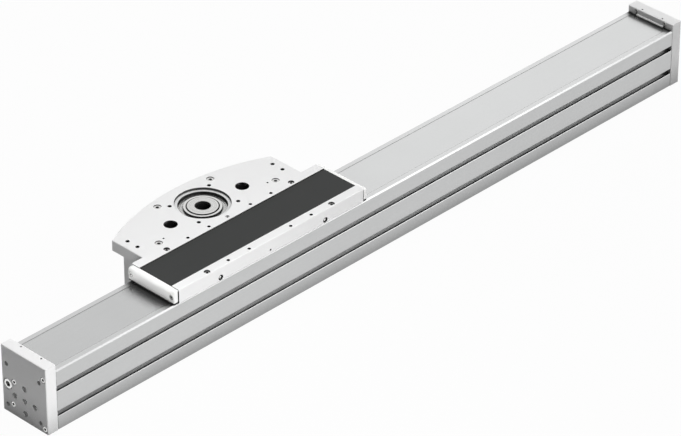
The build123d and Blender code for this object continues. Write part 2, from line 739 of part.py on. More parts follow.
# Wipers and end covers close the saddle's ends just above the strip. Both are sections run across the axis.
wiper_bottom = profile_height + running_gap
cover_reach = wiper_thickness + end_cover_thickness
cover_middle_y = (end_cover_front_y + end_cover_back_y) / 2
cover_half_width = (end_cover_back_y - end_cover_front_y) / 2
for end, side in ends:
    saddle_end = saddle_x + side * saddle_length / 2
    across = Plane(origin=(saddle_end, cover_middle_y, 0), x_dir=(side, 0, 0), z_dir=(0, -side, 0))
    with BuildPart() as wiper:
        with BuildSketch(across) as wiper_section:
            with BuildLine():
                Polyline(
                    (0, wiper_bottom),
                    (cover_reach - wiper_foot_inset, wiper_bottom),
                    (cover_reach - wiper_foot_inset, end_cover_bottom),
                    (wiper_thickness, end_cover_bottom),
                    (wiper_thickness, end_cover_top - end_cover_lip),
                    (0, end_cover_top - end_cover_lip),
                    close=True,
                )
            make_face()
        extrude(amount=cover_half_width - wiper_inset, both=True)
        with Locations(end_plane(side, saddle_end + side * wiper_thickness)):
            with Locations(*on_end(side, end_cover_screw_places)):
                Hole(screw_m4[0] / 2 + fit_gap)
    wiper.part.label = f"strip_wiper_{end}"
    export_step(wiper.part, f"parts/strip_wiper_{end}.step")
    with BuildPart() as end_cover:
        with BuildSketch(across) as cover_section:
            with BuildLine():
                face_bottom = (cover_reach - end_cover_bulge, end_cover_bottom)
                face_middle = (cover_reach, (end_cover_bottom + end_cover_top) / 2)
                face_top = (cover_reach - end_cover_bulge, end_cover_top)
                ThreePointArc(face_bottom, face_middle, face_top)
                Polyline(
                    face_top,
                    (0, end_cover_top),
                    (0, end_cover_top - end_cover_lip),
                    (wiper_thickness, end_cover_top - end_cover_lip),
                    (wiper_thickness, end_cover_bottom),
                    face_bottom,
                )
            make_face()
            face_corners = cover_section.vertices().group_by(Axis.X)[-1].sort_by(Axis.Y)
            fillet(face_corners[-1], end_cover_top_radius)
            face_corners = cover_section.vertices().sort_by(Axis.Y).group_by(Axis.Y)[0].sort_by(Axis.X)
            fillet(face_corners[-1], end_cover_bottom_radius)
        extrude(amount=cover_half_width, both=True)
        for rim in (end_cover.edges().group_by(Axis.Y)[0], end_cover.edges().group_by(Axis.Y)[-1]):
            outer_rim = rim.filter_by(
                lambda edge: abs(edge.center().X - saddle_end) > wiper_thickness + fit_gap
                or edge.center().Z > end_cover_top - fit_gap
            )
            fillet(outer_rim, end_cover_side_radius)
        with Locations(end_plane(side, saddle_end + side * cover_reach)):
            with Locations(*on_end(side, end_cover_screw_places)):
                CounterBoreHole(screw_m4[0] / 2 + fit_gap, screw_m4[1] / 2 + head_side_gap, screw_m4[2])
    end_cover.part.label = f"end_cover_{end}"
    export_step(end_cover.part, f"parts/end_cover_{end}.step")

end_cover_screw_piece = cap_screw(screw_m4, cover_reach - screw_m4[2] + end_cover_screw_reach)
for end, side in ends:
    seat_x = saddle_x + side * (saddle_length / 2 + cover_reach - screw_m4[2])
    with BuildPart() as end_cover_screws:
        with Locations(end_plane(side, seat_x)):
            with Locations(*on_end(side, end_cover_screw_places)):
                add(end_cover_screw_piece)
    end_cover_screws.part.label = f"end_cover_screws_{end}"
    export_step(end_cover_screws.part, f"parts/end_cover_screws_{end}.step")

# Screws in the outer holes of the saddle's two rows
saddle_screw_piece = cap_screw(screw_m5, row_screw_length)
with BuildPart() as saddle_screws:
    with Locations(Plane.XY.offset(head_top - screw_m5[2] - row_screw_sink)):
        with Locations((saddle_x, 0)):
            with GridLocations(6 * row_pitch, 2 * row_y, 2, 2):
                add(saddle_screw_piece)
saddle_screws.part.label = "saddle_screws"
export_step(saddle_screws.part, "parts/saddle_screws.step")

# Lubrication nipples sunk in the saddle's front, each with a drilled ball head on a round base
with BuildPart() as lube_nipples:
    with Locations(Plane.XZ.offset(-saddle_front_y - nipple_depth)):
        with Locations(*nipple_places):
            Cylinder(
                nipple_hole / 2 - fit_gap, nipple_base, align=(Align.CENTER, Align.CENTER, Align.MIN)
            )
    with Locations(Plane.XZ.offset(-saddle_front_y - nipple_depth + nipple_ball / 2)):
        with Locations(*nipple_places):
            Sphere(nipple_ball / 2)
    with Locations(Plane.XZ.offset(-saddle_front_y)):
        with Locations(*nipple_places):
            Hole(nipple_bore / 2, depth=nipple_depth - nipple_base / 2)
lube_nipples.part.label = "lube_nipples"
export_step(lube_nipples.part, "parts/lube_nipples.step")

# Centring sleeves pressed into the drive plate
with BuildPart() as centring_sleeves:
    with BuildSketch(Plane.XY.offset(head_top - sleeve_depth)) as sleeve_rings:
        with Locations(*[(drive_x + x, y) for x, y in sleeve_places]):
            Circle(sleeve_diameter / 2)
            Circle(sleeve_bore / 2, mode=Mode.SUBTRACT)
    extrude(amount=sleeve_depth - sleeve_drop)
centring_sleeves.part.label = "centring_sleeves"
export_step(centring_sleeves.part, "parts/centring_sleeves.step")

# Carriages that run on the rail, with a lip into each ball groove
for end, side in ends:
    carriage_x = saddle_x + side * carriage_spacing / 2
    block_end = carriage_x - carriage_block_length / 2
    with BuildPart() as carriage:
        with BuildSketch(Plane.YZ.offset(block_end)) as carriage_section:
            with Locations((0, (guide_floor + carriage_lift + carriage_top) / 2)):
                Rectangle(carriage_width, carriage_height - carriage_lift)
            chamfer(carriage_section.vertices().group_by(Axis.Y)[-1], carriage_edge)
            with Locations((0, guide_floor + rail_height / 2)):
                Rectangle(
                    rail_width + 2 * running_gap, rail_height + 2 * running_gap, mode=Mode.SUBTRACT
                )
            flank = rail_width / 2 + running_gap
            with Locations((-flank, groove_z), (flank, groove_z)):
                Circle(rail_groove_radius - running_gap)
        extrude(amount=carriage_block_length)
        with Locations(Plane.XY.offset(carriage_top)):
            with Locations((carriage_x, 0)):
                with GridLocations(carriage_screw_spacing_x, carriage_screw_spacing_y, 2, 2):
                    Hole(screw_m5[0] / 2 + fit_gap, depth=carriage_screw_reach + screw_tip_gap / 2)
    carriage.part.label = f"carriage_{end}"
    export_step(carriage.part, f"parts/carriage_{end}.step")
    with BuildPart() as carriage_ends:
        for face_side in (-1, 1):
            start_x = carriage_x + face_side * carriage_block_length / 2
            with BuildSketch(end_plane(face_side, start_x)) as end_section:
                with Locations((0, (guide_floor + carriage_lift + carriage_top) / 2)):
                    Rectangle(
                        carriage_width - 2 * carriage_end_inset,
                        carriage_height - carriage_lift - 2 * carriage_end_inset,
                    )
                with Locations((0, guide_floor + rail_height / 2)):
                    Rectangle(
                        rail_width + 2 * running_gap, rail_height + 2 * running_gap, mode=Mode.SUBTRACT
                    )
            extrude(amount=carriage_end_length)
    carriage_ends.part.label = f"carriage_end_plates_{end}"
    export_step(carriage_ends.part, f"parts/carriage_end_plates_{end}.step")

carriage_screw_seat = bridge_top - screw_m5[2] - cap_screw_sink
carriage_screw_piece = cap_screw(screw_m5, carriage_screw_seat - carriage_top + carriage_screw_reach)
with BuildPart() as carriage_screws:
    with Locations(Plane.XY.offset(carriage_screw_seat)):
        with Locations(*carriage_places):
            with GridLocations(carriage_screw_spacing_x, carriage_screw_spacing_y, 2, 2):
                add(carriage_screw_piece)
carriage_screws.part.label = "carriage_screws"
export_step(carriage_screws.part, "parts/carriage_screws.step")

# Strip guides: wedges under the strip's ramps, seated against the bridge
guide_gap = strip_thickness / 2 + running_gap
guide_half_width = strip_channel_width / 2 - fit_gap
for end, side in ends:
    saddle_end = saddle_x + side * saddle_length / 2
    arc_low_z = strip_z + strip_thickness / 2 + strip_bend_radius
    arc_high_z = arc_low_z + strip_rise - 2 * strip_bend_radius
    low_radius = strip_bend_radius + guide_gap
    high_radius = strip_bend_radius - guide_gap
    start_angle = acos((arc_low_z - saddle_bottom - strip_recess) / low_radius)
    turn = radians(ramp_angle)
    foot = (low_radius * sin(start_angle), arc_low_z - low_radius * cos(start_angle))
    low_mid_angle = (start_angle + turn) / 2
    low_mid = (low_radius * sin(low_mid_angle), arc_low_z - low_radius * cos(low_mid_angle))
    joint = (low_radius * sin(turn), arc_low_z - low_radius * cos(turn))
    high_mid = (
        ramp_length - high_radius * sin(turn / 2),
        arc_high_z + high_radius * cos(turn / 2),
    )
    crest_point = (ramp_length, arc_high_z + high_radius)
    inner_end = bridge_end_inset - fit_gap
    with BuildPart() as strip_guide:
        with BuildSketch(
            Plane(
                origin=(saddle_end, -side * guide_half_width, 0), x_dir=(-side, 0, 0), z_dir=(0, side, 0)
            )
        ) as wedge:
            with BuildLine() as wedge_edge:
                Line((foot[0], saddle_bottom), foot)
                ThreePointArc(foot, low_mid, joint)
                ThreePointArc(joint, high_mid, crest_point)
                Polyline(
                    crest_point,
                    (inner_end, crest_point[1]),
                    (inner_end, saddle_bottom),
                    (foot[0], saddle_bottom),
                )
            make_face()
        extrude(amount=2 * guide_half_width)
    strip_guide.part.label = f"strip_guide_{end}"
    export_step(strip_guide.part, f"parts/strip_guide_{end}.step")

# Drive housing: a D-shaped block under the drive plate, open below and towards the profile
housing_front = profile_side + housing_gap_y
housing_corner_y = pulley_y - housing_corner_inset
housing_back_y = pulley_y + housing_back_inset


def housing_outline(front):
    """Edge of the housing's D, from its front line round the back."""
    left_x = drive_x - plate_half_width + edge_break
    right_x = drive_x + plate_half_width - edge_break
    with BuildSketch() as outline:
        with BuildLine() as edge:
            Polyline(
                (left_x, housing_corner_y), (left_x, front), (right_x, front), (right_x, housing_corner_y)
            )
            ThreePointArc(
                (right_x, housing_corner_y), (drive_x, housing_back_y), (left_x, housing_corner_y)
            )
        make_face()
    return outline.sketch


with BuildPart() as drive_housing:
    with BuildSketch(Plane.XY.offset(housing_bottom)) as lower_outline:
        add(housing_outline(housing_front))
    extrude(amount=saddle_bottom - housing_bottom)
    with BuildSketch(Plane.XY.offset(saddle_bottom)) as upper_outline:
        add(housing_outline(saddle_back_y))
    extrude(amount=plate_bottom - saddle_bottom)
    with BuildSketch(Plane.XY.offset(housing_bottom)) as pocket:
        with Locations((drive_x, pulley_y - pocket_back_inset)):
            Rectangle(
                2 * pocket_half_width,
                pulley_y - pocket_back_inset - housing_front + cut_through,
                align=(Align.CENTER, Align.MAX),
            )
        fillet(pocket.vertices().group_by(Axis.Y)[-1], pocket_corner_radius)
        with Locations((drive_x, pulley_y)):
            Circle(pulley_pocket_radius)
    extrude(amount=pocket_top - housing_bottom, mode=Mode.SUBTRACT)
    with Locations(Plane.XY.offset(plate_bottom)):
        with Locations((drive_x, pulley_y)):
            CounterBoreHole(
                upper_bearing_outside / 2 - bearing_shoulder,
                upper_bearing_outside / 2,
                plate_bottom - bearing_top + upper_bearing_width,
            )
        with Locations(*[(drive_x + x, y) for x, y in housing_screw_places]):
            Hole(screw_m8[0] / 2 + housing_screw_gap)
        with Locations(*[(drive_x + side * mounting_hole_x, mounting_hole_y) for end, side in ends]):
            Hole(mounting_thread / 2, depth=mounting_thread_depth)
    with Locations(Plane.XY.offset(pocket_top)):
        with Locations(*idler_places):
            Cylinder(
                idler_axle_diameter / 2 + fit_gap,
                idler_axle_seat,
                align=(Align.CENTER, Align.CENTER, Align.MIN),
                mode=Mode.SUBTRACT,
            )
drive_housing.part.label = "drive_housing"
export_step(drive_housing.part, "parts/drive_housing.step")

# Bottom cover with the lower bearing seat and the idler axle seats
with BuildPart() as bottom_cover:
    with BuildSketch(Plane.XY.offset(cover_bottom)) as cover_outline:
        add(housing_outline(housing_front))
    extrude(amount=cover_thickness)
    chamfer(bottom_cover.faces().sort_by(Axis.Z)[0].edges(), edge_break)
    with Locations(Plane.XY.offset(housing_bottom)):
        with Locations((drive_x, pulley_y)):
            Hole(lower_bearing_outside / 2, depth=lower_bearing_width)
        with Locations(*idler_places):
            Hole(idler_axle_diameter / 2 + fit_gap, depth=idler_axle_seat)
    with Locations(Plane.XY.offset(cover_bottom) * Rotation(180, 0, 0)):
        with Locations(*[(drive_x + x, -y) for x, y in housing_screw_places]):
            CounterBoreHole(
                screw_m8[0] / 2 + housing_screw_gap, screw_m8[1] / 2 + head_side_gap, screw_m8[2]
            )
bottom_cover.part.label = "bottom_cover"
export_step(bottom_cover.part, "parts/bottom_cover.step")

# Long screws that hold cover and housing under the drive plate
housing_screw_piece = cap_screw(screw_m8, plate_bottom + housing_screw_reach - cover_bottom - screw_m8[2])
with BuildPart() as housing_screws:
    with Locations(Plane.XY.offset(cover_bottom + screw_m8[2]) * Rotation(180, 0, 0)):
        with Locations(*[(drive_x + x, -y) for x, y in housing_screw_places]):
            add(housing_screw_piece)
housing_screws.part.label = "housing_screws"
export_step(housing_screws.part, "parts/housing_screws.step")

# Hollow drive shaft, looking up through the bearing, with a shoulder each side of the pulley
pulley_bottom = belt_height - belt_width / 2 - belt_side_gap - pulley_flange_thickness
pulley_top = belt_height + belt_width / 2 + belt_side_gap + pulley_flange_thickness
hub_top = head_top - hub_drop
with BuildPart() as drive_shaft:
    with BuildSketch(Plane.XZ.offset(-pulley_y)) as shaft_section:
        with BuildLine() as shaft_edge:
            journal = upper_bearing_bore / 2 - fit_gap
            foot_radius = lower_bearing_bore / 2 - fit_gap
            bottom = housing_bottom - lower_bearing_width + shaft_foot_gap
            Polyline(
                (drive_x, bottom),
                (drive_x + foot_radius, bottom),
                (drive_x + foot_radius, housing_bottom + shaft_step_height),
                (drive_x + journal, housing_bottom + shaft_step_height),
                (drive_x + journal, bearing_top - neck_height),
                (drive_x + journal - neck_inset, bearing_top - neck_height),
                (drive_x + journal - neck_inset, bearing_top),
                (drive_x + hub_diameter / 2, bearing_top),
                (drive_x + hub_diameter / 2, hub_top),
                (drive_x + hub_bore / 2, hub_top),
                (drive_x + hub_bore / 2, hub_top - hub_bore_depth),
                (drive_x, hub_top - hub_bore_depth),
                close=True,
            )
        make_face()
    revolve(axis=Axis((drive_x, pulley_y, 0), (0, 0, 1)))
drive_shaft.part.label = "drive_shaft"
export_step(drive_shaft.part, "parts/drive_shaft.step")

# Toothed pulley on the shaft: round-bottomed grooves between two flanges
with BuildPart() as drive_pulley:
    with BuildSketch(Plane.XY.offset(pulley_bottom + pulley_flange_thickness)) as tooth_ring:
        with Locations((drive_x, pulley_y)):
            Circle(pulley_tip_radius)
            with PolarLocations(pulley_tip_radius + tooth_groove_radius - tooth_groove_depth, pulley_teeth):
                Circle(tooth_groove_radius, mode=Mode.SUBTRACT)
            Circle(upper_bearing_bore / 2, mode=Mode.SUBTRACT)
    extrude(amount=pulley_top - pulley_bottom - 2 * pulley_flange_thickness)
    for flange_bottom in (pulley_bottom, pulley_top - pulley_flange_thickness):
        with BuildSketch(Plane.XY.offset(flange_bottom)) as flange:
            with Locations((drive_x, pulley_y)):
                Circle(pulley_tip_radius + pulley_flange_rise)
                Circle(upper_bearing_bore / 2, mode=Mode.SUBTRACT)
        extrude(amount=pulley_flange_thickness)
drive_pulley.part.label = "drive_pulley"
export_step(drive_pulley.part, "parts/drive_pulley.step")

# Ball bearings of the shaft: outer rings with their shields, and inner rings. The upper one's inner ring
# stands up round the hub.
upper_size = (upper_bearing_bore, upper_bearing_outside, upper_bearing_width)
lower_size = (lower_bearing_bore, lower_bearing_outside, lower_bearing_width)
bearing_seats = (
    ("upper", upper_size, bearing_top - upper_bearing_width, upper_inner_ring, upper_outer_ring),
    ("lower", lower_size, housing_bottom - lower_bearing_width, lower_inner_ring, lower_outer_ring),
)
for level_name, (bore, outside, width), seat_z, inner_ring, outer_ring in bearing_seats:
    shield_outside = outside - 2 * outer_ring
    inner_outside = bore + 2 * inner_ring
    shield_inside = inner_outside + 2 * running_gap
    upper_shield_z = seat_z + width - shield_inset - shield_thickness
    with BuildPart() as outer_piece:
        with Locations((drive_x, pulley_y)):
            add(ring(shield_outside, outside, seat_z, seat_z + width))
            for shield_z in (seat_z + shield_inset, upper_shield_z):
                add(ring(shield_inside, shield_outside, shield_z, shield_z + shield_thickness))
    outer_piece.part.label = f"shaft_bearing_outer_{level_name}"
    export_step(outer_piece.part, f"parts/shaft_bearing_outer_{level_name}.step")
    with BuildPart() as inner_piece:
        with Locations((drive_x, pulley_y)):
            add(ring(bore, inner_outside, seat_z, seat_z + width))
            if level_name == "upper":
                mouth = bore + 2 * upper_ring_mouth
                add(ring(mouth, inner_outside, seat_z + width, seat_z + width + upper_ring_rise))
    inner_piece.part.label = f"shaft_bearing_inner_{level_name}"
    export_step(inner_piece.part, f"parts/shaft_bearing_inner_{level_name}.step")

# Idler rollers on fixed axles, each on two ball bearings
roller_bottom = belt_height - belt_width / 2 - belt_side_gap - idler_flange_thickness
roller_top = belt_height + belt_width / 2 + belt_side_gap + idler_flange_thickness
for end, side in ends:
    idler_x = drive_x + side * idler_spread
    with BuildPart() as idler_roller:
        with Locations((idler_x, idler_y)):
            add(ring(idler_bearing_diameter, 2 * idler_radius, roller_bottom, roller_top))
            for flange_z in (roller_bottom, roller_top - idler_flange_thickness):
                add(
                    ring(
                        idler_bearing_diameter,
                        2 * (idler_radius + idler_flange_rise),
                        flange_z,
                        flange_z + idler_flange_thickness,
                    )
                )
    idler_roller.part.label = f"idler_roller_{end}"
    export_step(idler_roller.part, f"parts/idler_roller_{end}.step")
    with BuildPart() as idler_bearings:
        with Locations((idler_x, idler_y)):
            for bearing_z in (
                roller_bottom + idler_bearing_inset,
                roller_top - idler_bearing_inset - idler_bearing_width,
            ):
                add(
                    ring(
                        idler_axle_diameter + 2 * fit_gap,
                        idler_bearing_diameter,
                        bearing_z,
                        bearing_z + idler_bearing_width,
                    )
                )
    idler_bearings.part.label = f"idler_bearings_{end}"
    export_step(idler_bearings.part, f"parts/idler_bearings_{end}.step")
    with BuildPart() as idler_axle:
        with BuildSketch(Plane.XY.offset(housing_bottom - idler_axle_seat)) as axle_outline:
            with Locations((idler_x, idler_y)):
                Circle(idler_axle_diameter / 2)
        extrude(amount=pocket_top - housing_bottom + 2 * idler_axle_seat)
    idler_axle.part.label = f"idler_axle_{end}"
    export_step(idler_axle.part, f"parts/idler_axle_{end}.step")

# Belt: a straight run on edge from each clamp to its idler
for end, side in ends:
    clamp_end = side * (belt_clamp_inner + belt_clamp_length / 2)
    loop_end = drive_x + side * idler_spread
    with BuildPart() as belt_run:
        with BuildSketch(Plane.XY.offset(belt_height - belt_width / 2)) as run_outline:
            with Locations(((clamp_end + loop_end) / 2, belt_line_y)):
                Rectangle(abs(clamp_end - loop_end), belt_thickness)
        extrude(amount=belt_width)
    belt_run.part.label = f"belt_run_{end}"
    export_step(belt_run.part, f"parts/belt_run_{end}.step")

# Belt in the drive head: round one idler, over the pulley and round the other idler
line_angle = atan2(pulley_y - idler_y, idler_spread)
cross_angle = acos((loop_idler_radius + loop_pulley_radius) / hypot(idler_spread, pulley_y - idler_y))
leave_angle = line_angle - cross_angle
near_idler = (drive_x - idler_spread, idler_y)
leave_point = (
    near_idler[0] + loop_idler_radius * cos(leave_angle),
    near_idler[1] + loop_idler_radius * sin(leave_angle),
)
mesh_point = (
    drive_x - loop_pulley_radius * cos(leave_angle),
    pulley_y - loop_pulley_radius * sin(leave_angle),
)
with BuildPart() as belt_loop:
    with BuildSketch(Plane.XY.offset(belt_height - belt_width / 2)) as loop_outline:
        with BuildLine() as loop_line:
            idler_wrap = 90 + degrees(leave_angle)
            JernArc((near_idler[0], belt_line_y), (1, 0), loop_idler_radius, idler_wrap)
            Line(leave_point, mesh_point)
            pulley_wrap = ThreePointArc(
                mesh_point,
                (drive_x, pulley_y + loop_pulley_radius),
                (2 * drive_x - mesh_point[0], mesh_point[1]),
            )
            leave_pulley = Line(pulley_wrap @ 1, (2 * drive_x - leave_point[0], leave_point[1]))
            JernArc(leave_pulley @ 1, leave_pulley % 1, loop_idler_radius, idler_wrap)
        trace(line_width=belt_thickness)
    extrude(amount=belt_width)
belt_loop.part.label = "belt_loop"
export_step(belt_loop.part, "parts/belt_loop.step")
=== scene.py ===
"""The looks of the cantilever linear axis, in metres: finishes, strip, belt, floor, light and camera."""
import logging
import math
from dataclasses import dataclass
from enum import Enum
from typing import Any

import bmesh
import bpy
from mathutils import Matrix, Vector


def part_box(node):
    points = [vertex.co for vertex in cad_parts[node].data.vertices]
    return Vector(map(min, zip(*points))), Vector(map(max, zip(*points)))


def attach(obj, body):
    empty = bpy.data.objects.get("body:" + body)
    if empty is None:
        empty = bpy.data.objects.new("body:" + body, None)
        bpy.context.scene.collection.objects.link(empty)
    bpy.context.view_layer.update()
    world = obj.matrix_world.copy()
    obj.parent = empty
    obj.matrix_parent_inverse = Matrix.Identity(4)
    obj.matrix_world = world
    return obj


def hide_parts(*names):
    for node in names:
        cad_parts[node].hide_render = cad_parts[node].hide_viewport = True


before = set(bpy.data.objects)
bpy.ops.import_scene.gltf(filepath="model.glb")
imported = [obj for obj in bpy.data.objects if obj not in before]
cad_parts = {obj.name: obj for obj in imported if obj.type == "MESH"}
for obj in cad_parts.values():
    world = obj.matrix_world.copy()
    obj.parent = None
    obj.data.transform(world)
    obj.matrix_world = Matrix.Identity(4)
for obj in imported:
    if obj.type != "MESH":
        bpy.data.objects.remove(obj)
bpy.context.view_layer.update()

log = logging.getLogger("axis")

MM = 0.001
WHITE = (1.0, 1.0, 1.0)
# The first colour lightens edges, partly as wear and partly as a painted highlight; the second is the colour
# of painted shade.
EDGE_WEAR_AND_HIGHLIGHT_COLOUR = (0.95, 0.95, 0.94, 1.0)
SHADE_COLOUR = (0.012, 0.012, 0.012, 1.0)

# The grain: how far drawn lines are stretched, and how grain and larger clouds share the change of colour.
DRAWN_STRETCH = 260
CLOUD_SCALE = 14.0
GRAIN_SHARE = 0.6

# The edges: how finely they are rounded, and how fast the wear and the painted highlight fade beside them.
EDGE_SAMPLES = 4
EDGE_GAIN = 6.0

# The contact shade: which faces count as flat and as walls, and how dark the slots' lips and the bores get.
FLAT_FROM = 0.9
WALL_BELOW = 0.4
LIP_OPEN_SHARE = 0.7
LIP_GAIN = 3.7
LIP_SHADE = 0.95
BORE_SHADE = 0.85

Colour = tuple[float, float, float]
Place = tuple[float, float, float]


class Signal:
    """One output of a shader graph, on which sums are written as Python expressions."""

    def __init__(self, graph: "Graph", socket: bpy.types.NodeSocket) -> None:
        """Keeps the graph and the socket.

        Args:
            graph: The graph that the socket belongs to.
            socket: An output socket of one of its nodes.
        """
        self.graph = graph
        self.socket = socket

    def __add__(self, other: "Number") -> "Signal":
        """Adds a value or another signal."""
        return self.graph.maths("ADD", self, other)

    def __sub__(self, other: "Number") -> "Signal":
        """Takes a value or another signal away."""
        return self.graph.maths("SUBTRACT", self, other)

    def __rsub__(self, other: float) -> "Signal":
        """Takes this signal away from a value."""
        return self.graph.maths("SUBTRACT", other, self)

    def __mul__(self, other: "Number") -> "Signal":
        """Multiplies by a value or another signal."""
        return self.graph.maths("MULTIPLY", self, other)

    def __pow__(self, other: "Number") -> "Signal":
        """Raises to a power."""
        return self.graph.maths("POWER", self, other)

    __radd__ = __add__
    __rmul__ = __mul__

    def larger(self, other: "Number") -> "Signal":
        """The larger of this signal and another."""
        return self.graph.maths("MAXIMUM", self, other)


Number = float | Signal


class Graph:
    """The shader nodes of one material or of the world."""

    def __init__(self, owner: bpy.types.Material | bpy.types.World) -> None:
        """Empties the owner's node tree, so that the graph starts bare.

        Args:
            owner: The material or the world that the nodes are for.
        """
        owner.use_nodes = True
        self.tree = owner.node_tree
        self.tree.nodes.clear()

    def node(
        self,
        kind: str,
        settings: dict[str, Any] | None = None,
        sockets: dict[str | int, Any] | None = None,
        output: str | int = 0,
    ) -> Signal:
        """Adds a node, sets it up and links it.

        Args:
            kind: The node's type, without its ShaderNode prefix.
            settings: The node's own settings, such as a Math node's operation.
            sockets: A value or a signal for each input that isn't left as it is.
            output: The output that is handed on.

        Returns:
            The named output of the new node.
        """
        made = self.tree.nodes.new("ShaderNode" + kind)
        for name, value in (settings or {}).items():
            setattr(made, name, value)
        for name, value in (sockets or {}).items():
            if isinstance(value, Signal):
                self.tree.links.new(value.socket, made.inputs[name])
            else:
                made.inputs[name].default_value = value
        outlet = made.outputs[output] if len(made.outputs) else None
        return Signal(self, outlet)

    def maths(self, operation: str, *values: Number) -> Signal:
        """Adds one Math node.

        Args:
            operation: What the node does.
            values: Its one, two or three inputs.

        Returns:
            The result.
        """
        return self.node("Math", {"operation": operation}, dict(enumerate(values)))

    def vector(self, operation: str, first: Any, second: Any, output: str = "Vector") -> Signal:
        """Adds one Vector Math node and hands on one of its outputs."""
        return self.node("VectorMath", {"operation": operation}, {0: first, 1: second}, output)

    def blend(self, factor: Number, low: Any, high: Any) -> Signal:
        """Mixes two colours.

        Args:
            factor: Nought gives the first colour and one gives the second.
            low: The first colour, as four numbers or a signal.
            high: The second colour, as four numbers or a signal.

        Returns:
            The mixed colour.
        """
        sockets = {"Factor": factor, 6: low, 7: high}
        return self.node("Mix", {"data_type": "RGBA"}, sockets, 2)

    def noise(self, place: Signal, scale: float, detail: float = 2.0) -> Signal:
        """Noise from nought to one, with a scale in waves to the metre."""
        sockets = {"Vector": place, "Scale": scale, "Detail": detail}
        return self.node("TexNoise", {}, sockets, "Fac")

    def place(self) -> Signal:
        """The point of the surface in the piece's own metres, so that it moves with the piece."""
        return self.node("TexCoord", {}, {}, "Object")


class Grain(Enum):
    """How the tool, die or mould has left a surface."""

    DRAWN = "lines along the axis"
    SATIN = "even grain"
    TURNED = "rings about an upright axle"
    MOULDED = "small bumps"


